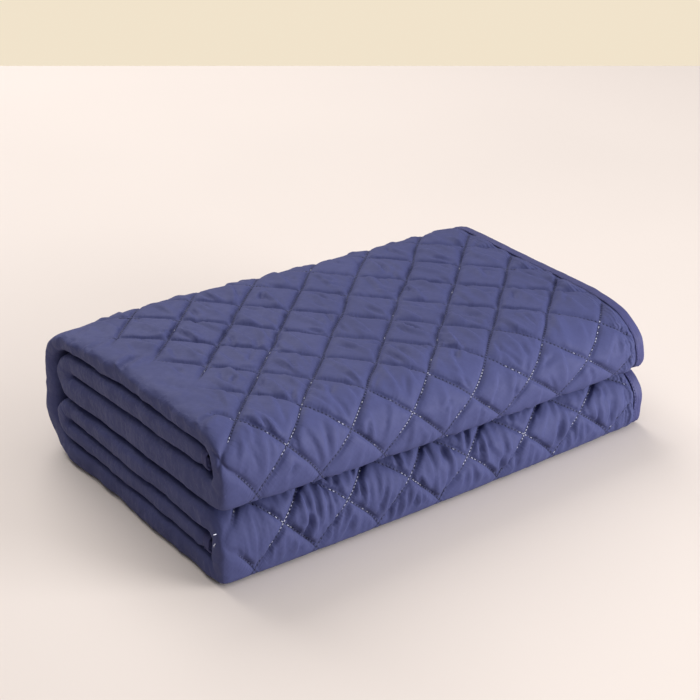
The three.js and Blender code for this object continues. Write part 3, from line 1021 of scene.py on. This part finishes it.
def around_edge(inset):
    """u and s of the stations all round the cloth, at an inset from its edge. The corners are
    mitred."""
    far = FOLD_CENTRE - FOLD_ARC - (CLOTH_EDGE - FOLD_CENTRE)
    length = SECTION.length

    def side(start, end, step):
        total = abs(end - start)
        place = np.linspace(0, 1, round(total / step) + 1)[:-1] * total
        pull = np.clip((total - place) / TAPE_MITRE, 0, 1) - np.clip(place / TAPE_MITRE, 0, 1)
        return start + np.sign(end - start) * (place + pull * inset)

    up, left = side(0.0, length, TAPE_STEP), side(CLOTH_EDGE, far, TAPE_SHORT_STEP)
    down, right = side(length, 0.0, TAPE_STEP), side(far, CLOTH_EDGE, TAPE_SHORT_STEP)
    u = (0 * up + CLOTH_EDGE - inset, left, 0 * down + far + inset, right)
    s = (up, 0 * left + length - inset, down, 0 * right + inset)
    return np.concatenate(u), np.concatenate(s)


def build_binding(material):
    """The tape folded over the cloth's edge, all the way round, with its small gathers."""
    mirrored = [[(inset, -depth) for inset, depth in side[::-1]] for side in (TAPE_OUTSIDE, TAPE_INSIDE)]
    section = [*TAPE_OUTSIDE, *mirrored[0], *mirrored[1], *TAPE_INSIDE]
    height, deepest, reach = TAPE_GATHER
    rings = []
    for number, (inset, depth) in enumerate(section):
        u, s = around_edge(inset)
        ply = 0.0 if depth > 0 else 5.0
        gather = wander(s / 2.6 + u / 2.6, s * 0 + 2.5 + ply, 31)
        gather += 0.8 * wander(s / 5.5 + u / 5.5, s * 0 + 4.5 + ply, 32)
        skin = 1.0 if number < 2 * len(TAPE_OUTSIDE) else 0.0
        free = np.clip(1 - abs(inset - deepest) / reach, 0, 1)
        rings.append(cloth_point(u, s, depth + height * skin * free * gather * np.sign(depth)))
    points = np.stack(rings)
    count, stations = points.shape[:2]
    a = np.arange(count * stations).reshape(count, stations)
    b = np.roll(a, -1, 0)
    polygons = np.stack([a, np.roll(a, -1, 1), np.roll(b, -1, 1), b], -1).reshape(-1, 4)
    tape = mesh_object("edge_tape", points.reshape(-1, 3), polygons.tolist(), material)
    along = np.arange(stations) * TAPE_STEP
    place = np.stack(np.broadcast_arrays(along, np.arange(count)[:, None]), -1)
    add_uv(tape, "cloth", place.reshape(-1, 2) * MM)
    return tape


# ---- Stitches ---------------------------------------------------------------------------


def off_floor(s):
    return (s < BEGIN["bottom"] + NO_STITCHES[0]) | (s > BEGIN["lower front"] + NO_STITCHES[1])


def seam_stitches():
    """The column, the row and the seam's direction of every stitch that can be seen."""
    q = QUILTING
    begin = q.row_at(BEGIN["upper front"] - STITCH_MARGIN)
    end = q.row_at(BEGIN["lower top"] + STITCH_MARGIN)
    steps = (np.arange(STITCHES_A_SEAM) + 0.5) / STITCHES_A_SEAM
    every = range(math.floor((-2 - end) / 2), math.ceil((q.edge + end) / 2) + 2)
    found = []
    for seam in every:
        for cell in every:
            along = cell + steps
            for way in (1, -1):
                p, r = (seam, along) if way > 0 else (along, seam)
                column, row = p + r, p - r
                keep = (row > begin) & (row < end)
                keep = keep & (column > q.fold) & (column < q.edge - TAPE_COLUMNS)
                found.append(np.stack([column, row, column * 0 + way])[:, keep])
    column, row, way = np.concatenate(found, 1)
    s = q.along(row)
    shown = (relief_zone(column, q.across(column, s), s) > STITCHED) & off_floor(s)
    return column[shown], row[shown], way[shown]


def seam_point(column, row, lift, seam_depth):
    """A point on a seam line, lifted off the cloth."""
    s = QUILTING.along(row)
    u = QUILTING.across(column, s)
    sunk = seam_depth * relief_zone(column, u, s) * pressed(row, s)
    return cloth_point(u, s, half_ply(u, s) - sunk + lift)


def tape_point(s, t, lift):
    """A point on the row of stitches that holds the tape."""
    pitch, half, inset, height = TAPE_STITCH
    return cloth_point(CLOTH_EDGE - inset + 0 * s, s + half * t * pitch, height + lift)


def unit(v):
    return v / np.linalg.norm(v, axis=-1, keepdims=True)


def capsules(points, radius):
    """Tubes with pointed ends along rows of points; points is (tubes, points along, xyz)."""
    along = unit(points[:, -1] - points[:, 0])
    side = unit(np.cross(along, along[:, [1, 2, 0]] + 0.3))
    up = np.cross(along, side)
    turn = (2 * math.pi * np.arange(THREAD_SIDES) / THREAD_SIDES)[None, :, None]
    spokes = side[:, None] * np.cos(turn) + up[:, None] * np.sin(turn)
    middle = points[:, 1:-1, None] + radius * spokes[:, None]
    tubes, rings = middle.shape[:2]
    body = middle.reshape(tubes, rings * THREAD_SIDES, 3)
    every = np.concatenate([points[:, :1], body, points[:, -1:]], 1)
    faces = []
    last = rings * THREAD_SIDES + 1
    for k in range(THREAD_SIDES):
        n = (k + 1) % THREAD_SIDES
        faces.append((0, 1 + n, 1 + k))
        for low in range(1, last - THREAD_SIDES, THREAD_SIDES):
            high = low + THREAD_SIDES
            faces += [(low + k, low + n, high + n), (low + k, high + n, high + k)]
        faces.append((last, last - THREAD_SIDES + k, last - THREAD_SIDES + n))
    starts = np.arange(tubes) * every.shape[1]
    return every.reshape(-1, 3), (np.array(faces) + starts[:, None, None]).reshape(-1, 3)


def stitch_highlights(column, row, way):
    """How much painted highlight each stitch gets, as a share of the pale thread colour: brightest
    round the crossings where the cloth turns down over the fronts."""
    random = np.random.RandomState(61).uniform(0, 1, len(row))
    patches = 0.5 + 0.5 * wander(column * 0.9, row * 1.1, 62)
    bright = HIGHLIGHT_STRAY + 0 * row
    for crossing in HIGHLIGHT_ROWS:
        near = hill(row - crossing, np.where(way < 0, *HIGHLIGHT_REACH))
        bright = bright + near * np.where(way < 0, *HIGHLIGHT_AMOUNT) * (0.4 + 0.8 * patches)
    return np.where(random < bright, 0.55 + 0.45 * patches, 0.1 * random)


def build_thread(material, settings):
    """The stitches of the seams and of the tape that can be seen, and two loose ends."""
    column, row, way = seam_stitches()
    ends = BEGIN["upper front"] - STITCH_MARGIN, BEGIN["lower top"] + STITCH_MARGIN
    tape_s = np.arange(*ends, TAPE_STITCH[0])
    tape_s = tape_s[off_floor(tape_s)]
    half = settings.stitch_length / MM / SEAM_SIDE / 2
    seam_depth = settings.seam_depth / MM
    on_seams, on_tape = [], []
    for t, lift in STITCH_SHAPE:
        on_seams.append(seam_point(column + t * half, row - way * t * half, lift, seam_depth))
        on_tape.append(tape_point(tape_s, t, lift))
    rows = np.concatenate([np.stack(on_seams, 1), np.stack(on_tape, 1)])
    points, polygons = capsules(rows, settings.thread_diameter / MM / 2)
    # Each stitch's share of painted highlight; the tape's stitches get none.
    pale = np.concatenate([stitch_highlights(column, row, way), np.zeros(len(tape_s))])
    pale = np.repeat(pale, len(points) // len(pale))
    for line in LOOSE_ENDS:
        more, faces = capsules(np.array([line]), LOOSE_RADIUS)
        polygons = np.concatenate([polygons, faces + len(points)])
        points = np.concatenate([points, more + SHIFT])
        # The loose ends are drawn wholly in the pale painted-highlight colour.
        pale = np.concatenate([pale, np.ones(len(more))])
    thread = mesh_object("quilting_thread", points, polygons.tolist(), material)
    add_uv(thread, "painted_highlight", np.stack([pale, pale], -1))
    return thread


# ---- Materials --------------------------------------------------------------------------

# The seams in the cloth's colour and bump, in millimetres from a seam: where the ditch and
# the needle holes, with their painted shade, fade out and the fine gathers end; then the holes
# along a stitch.
DITCH_FADE = (0.3, 1.3)
HOLE_FADE = (0.4, 1.1)
GATHER_FADE = (0.5, 9.0)
HOLE_LENGTH = (0.1, 0.3)
# Painted shade in the ditch and the needle holes: how strongly each darkens the cloth, and
# how dark it makes it.
DITCH_SHADE = (0.35, 0.35)
HOLE_SHADE = (0.7, 0.18)
# What each adds to the bump's height, before its common distance.
CLOTH_BUMP = {"crumple": 0.8, "weave": 0.12, "hole": -0.6, "ditch": -0.5, "gathers": 1.1}
TAPE_BUMP = {"streaks": 2.0, "weave": 0.1}
BUMP_DISTANCE = 0.0012
FOLD_RIBS = (0.5, 2.6)  # the strength of the patchy ribs round the soft fold
# Fine ribs along the bound edge: spacing, reach, strength and how far they stray in phase.
EDGE_RIBS = (2.6, 22.0, 0.9, 5.0)
LATTICE_START = 64.0  # keeps the lattice's coordinates above 0
SHEEN_TINT = (0.8, 0.82, 1.0, 1)


def opaque(colour, share=1.0):
    """A colour made darker or lighter, with its alpha."""
    return tuple(min(share * c, 1.0) for c in colour) + (1.0,)


class Nodes:
    """Short ways to add and link the nodes of one tree."""

    def __init__(self, tree):
        self.tree = tree

    def add(self, kind, values=None, **settings):
        node = self.tree.nodes.new(kind)
        for name, value in settings.items():
            setattr(node, name, value)
        for name, value in (values or {}).items():
            self.feed(value, node.inputs[name])
        return node

    def feed(self, value, socket):
        if isinstance(value, bpy.types.NodeSocket):
            self.tree.links.new(value, socket)
        else:
            socket.default_value = value

    def math(self, operation, a, b=0.0, c=0.0):
        return self.add("ShaderNodeMath", {0: a, 1: b, 2: c}, operation=operation).outputs[0]

    def times(self, a, b, plus=None):
        if plus is None:
            return self.math("MULTIPLY", a, b)
        return self.math("MULTIPLY_ADD", a, b, plus)

    def ramp(self, value, low, high, out_low=0.0, out_high=1.0):
        values = {"Value": value, "From Min": low, "From Max": high}
        values.update({"To Min": out_low, "To Max": out_high})
        return self.add("ShaderNodeMapRange", values, interpolation_type="SMOOTHSTEP").outputs[0]

    def blend(self, share, a, b):
        return self.add("ShaderNodeMix", {0: share, 6: a, 7: b}, data_type="RGBA").outputs[2]

    def noise(self, place, scale, detail):
        values = {"Vector": place, "Scale": scale, "Detail": detail}
        return self.add("ShaderNodeTexNoise", values).outputs[0]

    def stretched(self, place, spread, detail, scale=1.0):
        """Noise that changes at its own rate along each axis."""
        return self.noise(self.add("ShaderNodeMapping", {0: place, 3: spread}).outputs[0], scale, detail)

    def uv(self, name):
        return self.add("ShaderNodeUVMap", uv_map=name).outputs[0]

    def split(self, vector):
        return self.add("ShaderNodeSeparateXYZ", {0: vector}).outputs

    def shared(self, name, values):
        """One of the shared groups, built on its first use, with this material's values."""
        group = bpy.data.node_groups.get(name) or SHARED_GROUPS[name]()
        return self.add("ShaderNodeGroup", values, node_tree=group).outputs


def new_group(name, inputs, outputs):
    group = bpy.data.node_groups.new(name, "ShaderNodeTree")
    for socket, kind, value in inputs:
        made = group.interface.new_socket(socket, in_out="INPUT", socket_type=kind)
        made.default_value = value
    for socket, kind in outputs:
        group.interface.new_socket(socket, in_out="OUTPUT", socket_type=kind)
    n = Nodes(group)
    return group, n, n.add("NodeGroupInput").outputs, n.add("NodeGroupOutput").inputs


def weave_group():
    """Fine plain weave with soft slubs, as a height and a mask."""
    inputs = (
        ("Place", "NodeSocketVector", (0, 0, 0)),
        ("Threads a metre", "NodeSocketFloat", 1600.0),
        ("Slub", "NodeSocketFloat", 0.35),
    )
    outputs = (("Height", "NodeSocketFloat"), ("Mask", "NodeSocketFloat"))
    group, n, inside, out = new_group("plain_weave", inputs, outputs)
    axes = n.split(inside["Place"])
    warp, weft = (n.math("SINE", n.times(axes[axis], inside["Threads a metre"])) for axis in "XY")
    slub = n.stretched(inside["Place"], (260.0, 60.0, 60.0), 3.0)
    uneven = n.math("ADD", n.times(slub, inside["Slub"]), 0.5)
    n.feed(n.times(n.times(warp, weft), 0.5, uneven), out["Height"])
    n.feed(n.ramp(slub, 0.3, 0.7), out["Mask"])
    return group


def soft_tone_group():
    """Broad and fine variation of a dyed cloth's colour."""
    inputs = (
        ("Colour", "NodeSocketColor", (0.1, 0.1, 0.3, 1)),
        ("Worn colour", "NodeSocketColor", (0.2, 0.2, 0.4, 1)),
        ("Amount", "NodeSocketFloat", 0.3),
    )
    outputs = (("Colour", "NodeSocketColor"), ("Mask", "NodeSocketFloat"))
    group, n, inside, out = new_group("soft_tone", inputs, outputs)
    place = n.add("ShaderNodeTexCoord").outputs["Object"]
    broad, fine = n.noise(place, 14.0, 3.0), n.noise(place, 190.0, 4.0)
    mask = n.ramp(n.times(fine, 0.45, n.times(broad, 0.55)), 0.32, 0.68)
    share = n.times(mask, inside["Amount"])
    n.feed(n.blend(share, inside["Colour"], inside["Worn colour"]), out["Colour"])
    n.feed(mask, out["Mask"])
    return group


SHARED_GROUPS = {"plain_weave": weave_group, "soft_tone": soft_tone_group}


def dyed_material(name, colour, worn, amount, roughness, specular):
    """A material with an uneven dyed roughness; also its nodes, its shader's inputs, and the
    uneven colour and its mask."""
    material = bpy.data.materials.new(name)
    material.use_nodes = True
    n, shader = Nodes(material.node_tree), material.node_tree.nodes["Principled BSDF"].inputs
    values = {"Colour": opaque(colour), "Worn colour": opaque(colour, worn), "Amount": amount}
    tone = n.shared("soft_tone", values)
    n.feed(n.ramp(tone["Mask"], 0.0, 1.0, *roughness), shader["Roughness"])
    shader["Specular IOR Level"].default_value = specular
    return material, n, shader, tone


def finish_cloth(n, shader, height, strength):
    """The bump and the faint bluish sheen of a cloth."""
    bump = n.add("ShaderNodeBump", {"Strength": strength, "Distance": BUMP_DISTANCE, "Height": height})
    n.feed(bump.outputs[0], shader["Normal"])
    shader["Sheen Weight"].default_value = 0.02
    shader["Sheen Roughness"].default_value = 0.4
    shader["Sheen Tint"].default_value = SHEEN_TINT


def seam_masks(n, axes):
    """The ditch, the needle holes and the fine gathers of both directions of seams; the ditch and
    the holes give painted shade as well as bump.
    """
    ditches, holes, gathers = [], [], 0.0
    for across, along, spread in (("X", "Y", (6.0, 80.0, 1.0)), ("Y", "X", (80.0, 6.0, 1.0))):
        off = n.math("PINGPONG", n.math("ADD", axes[across], LATTICE_START), 0.5)
        off = n.times(off, SEAM_SIDE)
        ditches.append(n.ramp(off, *DITCH_FADE, 1.0, 0.0))
        step = n.times(n.math("ADD", axes[along], LATTICE_START), STITCHES_A_SEAM)
        step = n.math("PINGPONG", step, 0.5)
        holes.append(n.times(n.ramp(step, *HOLE_LENGTH, 1.0, 0.0), n.ramp(off, *HOLE_FADE, 1.0, 0.0)))
        fine = n.stretched(n.uv("seams"), spread, 1.0, 0.35)
        gathers = n.times(fine, n.ramp(off, *GATHER_FADE, CLOTH_BUMP["gathers"], 0.0), gathers)
    return n.math("MAXIMUM", *ditches), n.math("MAXIMUM", *holes), gathers


def edge_ribs(n, place, mask):
    """Fine ribs of the cloth along the bound edge, gathered by the tape's seam."""
    spacing, reach, strength, stray = EDGE_RIBS
    inset = n.math("SUBTRACT", CLOTH_EDGE * MM, n.split(place)["X"])
    phase = n.times(inset, 2 * math.pi / (spacing * MM), n.times(mask, stray))
    near = n.ramp(inset, TAPE_REACH * MM, LOFT_REACH * MM)
    near = n.times(near, n.ramp(inset, LOFT_REACH * MM, reach * MM, 1.0, 0.0))
    return n.times(n.math("SINE", phase), n.times(near, strength))


def cloth_material(settings):
    """Smooth navy cloth: a fine weave, worn tones, and needle holes and a ditch on seams that are
    bumped in and darkened with painted shade.
    """
    colour = settings.cloth_colour
    material, n, shader, tone = dyed_material("navy_quilt", colour, 1.25, 0.5, (0.72, 0.64), 0.2)
    place, zone = n.uv("cloth"), n.split(n.uv("zone"))
    ditch, hole, gathers = seam_masks(n, n.split(n.uv("seams")))
    ditch, hole = n.times(ditch, zone["X"]), n.times(hole, zone["X"])
    # Painted shade: the seam ditch and the needle holes darken the cloth's colour.
    shade = n.blend(n.times(ditch, DITCH_SHADE[0]), tone["Colour"], opaque(colour, DITCH_SHADE[1]))
    shade = n.blend(n.times(hole, HOLE_SHADE[0]), shade, opaque(colour, HOLE_SHADE[1]))
    n.feed(shade, shader["Base Color"])
    weave = n.shared("plain_weave", {"Place": place})["Height"]
    crumple = n.stretched(place, (150.0, 45.0, 60.0), 3.0)
    height = n.times(crumple, CLOTH_BUMP["crumple"], n.times(weave, CLOTH_BUMP["weave"]))
    height = n.times(hole, CLOTH_BUMP["hole"], height)
    height = n.times(ditch, CLOTH_BUMP["ditch"], height)
    height = n.times(gathers, zone["X"], height)
    patchy = n.times(zone["Y"], n.ramp(tone["Mask"], 0.3, 0.9, *FOLD_RIBS))
    height = n.times(n.stretched(place, (60.0, 180.0, 60.0), 2.0), patchy, height)
    height = n.math("ADD", edge_ribs(n, place, tone["Mask"]), height)
    finish_cloth(n, shader, height, 0.35)
    return material


def binding_material(settings):
    """The tape: the same cloth, a little darker, with its own small gathers."""
    colour = settings.binding_colour
    material, n, shader, tone = dyed_material("navy_tape", colour, 1.4, 0.6, (0.6, 0.48), 0.2)
    n.feed(tone["Colour"], shader["Base Color"])
    place = n.uv("cloth")
    weave = n.shared("plain_weave", {"Place": place, "Threads a metre": 1400.0})["Height"]
    streaks = n.stretched(place, (60.0, 700.0, 60.0), 2.0)
    height = n.times(weave, TAPE_BUMP["weave"], n.times(streaks, TAPE_BUMP["streaks"]))
    finish_cloth(n, shader, height, 0.4)
    return material


def thread_material(settings):
    """Thread of the cloth's own colour, with painted highlights: stitches painted pale where they
    would catch the light.
    """
    dark = opaque(settings.cloth_colour, 1.15)[:3]
    material, n, shader, tone = dyed_material("quilting_thread", dark, 1.4, 0.3, (0.6, 0.5), 0.1)
    pale = opaque(settings.thread_highlight_colour)
    # Painted highlight: the thread's colour mixed towards the pale colour by each stitch's share.
    n.feed(n.blend(n.split(n.uv("painted_highlight"))["X"], tone["Colour"], pale), shader["Base Color"])
    return material


def floor_material(settings):
    """A matt pale table top, very slightly uneven in tone."""
    material = bpy.data.materials.new("pale_floor")
    material.use_nodes = True
    n, shader = Nodes(material.node_tree), material.node_tree.nodes["Principled BSDF"].inputs
    cloudy = n.noise(n.add("ShaderNodeTexCoord").outputs["Object"], 2.2, 2.0)
    base, darker = opaque(settings.floor_colour), opaque(settings.floor_colour, 0.97)
    n.feed(n.blend(n.ramp(cloudy, 0.3, 0.7), base, darker), shader["Base Color"])
    shader["Roughness"].default_value = 0.75
    return material


# ---- The stage --------------------------------------------------------------------------


def place_object(name, data, location, towards):
    obj = bpy.data.objects.new(name, data)
    obj.location = location
    obj.rotation_mode = "QUATERNION"
    obj.rotation_quaternion = (Vector(location) - Vector(towards)).to_track_quat("Z", "Y")
    bpy.context.scene.collection.objects.link(obj)
    return obj


def build_world():
    """A pale backdrop behind the table, and dimmer warm light from all round."""
    world = bpy.data.worlds.new("studio")
    bpy.context.scene.world = world
    world.use_nodes = True
    n = Nodes(world.node_tree)
    ambient = world.node_tree.nodes["Background"]
    ambient.inputs["Color"].default_value = AMBIENT
    ambient.inputs["Strength"].default_value = AMBIENT_STRENGTH
    backdrop = n.add("ShaderNodeBackground", {"Color": BACKDROP})
    seen = n.add("ShaderNodeLightPath").outputs["Is Camera Ray"]
    both = n.add("ShaderNodeMixShader", {0: seen, 1: ambient.outputs[0], 2: backdrop.outputs[0]})
    n.feed(both.outputs[0], world.node_tree.nodes["World Output"].inputs["Surface"])


def build_stage(settings):
    """A large pale table top, soft light from behind, above and the front right, and the
    camera."""
    azimuth, height = math.radians(CAMERA_AZIMUTH), math.radians(CAMERA_HEIGHT)
    away = np.array([-math.sin(azimuth), math.cos(azimuth)])
    side = np.array([away[1], -away[0]])
    target = (np.array(AIM) + SHIFT)[:2] * MM
    corners = []
    for onward, sideways in ((-TABLE_NEAR, -1), (-TABLE_NEAR, 1), (TABLE_FAR, 1), (TABLE_FAR, -1)):
        corners.append((*(target + away * onward + side * sideways * TABLE_SIDE), 0.0))
    mesh = bpy.data.meshes.new("floor")
    mesh.from_pydata(corners, [], [(0, 1, 2, 3)])
    mesh.materials.append(floor_material(settings))
    floor = bpy.data.objects.new("floor", mesh)
    bpy.context.scene.collection.objects.link(floor)

    build_world()
    bpy.context.scene.view_settings.view_transform = "Standard"
    for name, energy, size, colour, place in LIGHTS:
        light = bpy.data.lights.new(name, "AREA")
        light.energy = energy
        light.size = size
        light.color = colour
        place_object(name, light, place, LIGHT_AIM)

    back = Vector((*(-away * math.cos(height)), math.sin(height)))
    aim = Vector((*target, AIM[2] * MM))
    camera = bpy.data.cameras.new("camera")
    camera.lens = CAMERA_LENS
    bpy.context.scene.camera = place_object("camera", camera, aim + back * CAMERA_DISTANCE, aim)


# ---- The add-on -------------------------------------------------------------------------


def colour_property(name, description, default):
    return bpy.props.FloatVectorProperty(
        name=name, description=description, default=default, subtype="COLOR", size=3, min=0, max=1
    )


def length_property(name, description, default):
    return bpy.props.FloatProperty(
        name=name, description=description, default=default * MM, unit="LENGTH", precision=4, min=0
    )


class CoverSizes(bpy.types.PropertyGroup):
    seam_depth: length_property("Seam depth", "How deep the stitches pull the cloth in", 1.9)
    puff_rise: length_property("Puff rise", "How far the middle of a diamond stands out", 1.3)
    crease_depth: length_property("Crease depth", "Depth of the deepest creases on the top", 1.8)
    stitch_length: length_property("Stitch length", "How much of each stitch shows", 2.0)
    thread_diameter: length_property("Thread", "Thickness of the quilting thread", 0.55)


class CoverColours(bpy.types.PropertyGroup):
    cloth_colour: colour_property("Cloth", "Colour of the quilted cloth", (0.056, 0.064, 0.17))
    binding_colour: colour_property("Binding", "Colour of the edge tape", (0.056, 0.059, 0.158))
    # The pale colour painted on the stitches as a highlight.
    thread_highlight_colour: colour_property("Thread", "Colour of the palest stitches", (0.8, 0.83, 0.98))
    floor_colour: colour_property("Floor", "Colour of the table top", (0.76, 0.7, 0.665))


class COVER_OT_cloth(bpy.types.Operator):
    """Build the folded, quilted cloth"""

    bl_idname = "cover.cloth"
    bl_label = "Quilted Cloth"

    def execute(self, context):
        scene = context.scene
        cloth = build_cloth(cloth_material(scene.cover_colours), scene.cover_sizes)
        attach(cloth, "root")
        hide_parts("quilted_cloth")
        return {"FINISHED"}


class COVER_OT_binding(bpy.types.Operator):
    """Build the tape folded round the edge of the cloth"""

    bl_idname = "cover.binding"
    bl_label = "Edge Binding"

    def execute(self, context):
        tape = build_binding(binding_material(context.scene.cover_colours))
        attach(tape, "root")
        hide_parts("edge_binding")
        return {"FINISHED"}


class COVER_OT_thread(bpy.types.Operator):
    bl_idname = "cover.thread"
    bl_label = "Quilting Thread"

    def execute(self, context):
        scene = context.scene
        thread = build_thread(thread_material(scene.cover_colours), scene.cover_sizes)
        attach(thread, "root")
        return {"FINISHED"}


class COVER_OT_stage(bpy.types.Operator):
    """Set out the table top, the studio light and the camera"""

    bl_idname = "cover.stage"
    bl_label = "Stage"

    def execute(self, context):
        build_stage(context.scene.cover_colours)
        return {"FINISHED"}


class COVER_PT_panel(bpy.types.Panel):
    """Sizes, colours and the pieces to build"""

    bl_idname = "COVER_PT_panel"
    bl_label = "Folded Cover"
    bl_space_type = "VIEW_3D"
    bl_region_type = "UI"
    bl_category = "Folded Cover"

    def draw(self, context):
        for group in (context.scene.cover_sizes, context.scene.cover_colours):
            box = self.layout.box()
            for name in group.__annotations__:
                box.prop(group, name)
        for operator in OPERATORS:
            self.layout.operator(operator.bl_idname)


OPERATORS = (COVER_OT_stage, COVER_OT_cloth, COVER_OT_binding, COVER_OT_thread)
CLASSES = (CoverSizes, CoverColours) + OPERATORS + (COVER_PT_panel,)


def register():
    for cls in CLASSES:
        bpy.utils.register_class(cls)
    bpy.types.Scene.cover_sizes = bpy.props.PointerProperty(type=CoverSizes)
    bpy.types.Scene.cover_colours = bpy.props.PointerProperty(type=CoverColours)


def unregister():
    del bpy.types.Scene.cover_colours
    del bpy.types.Scene.cover_sizes
    for cls in reversed(CLASSES):
        bpy.utils.unregister_class(cls)


def main():
    register()
    bpy.ops.cover.stage()
    bpy.ops.cover.cloth()
    bpy.ops.cover.binding()
    bpy.ops.cover.thread()


if __name__ == "__main__":
    main()
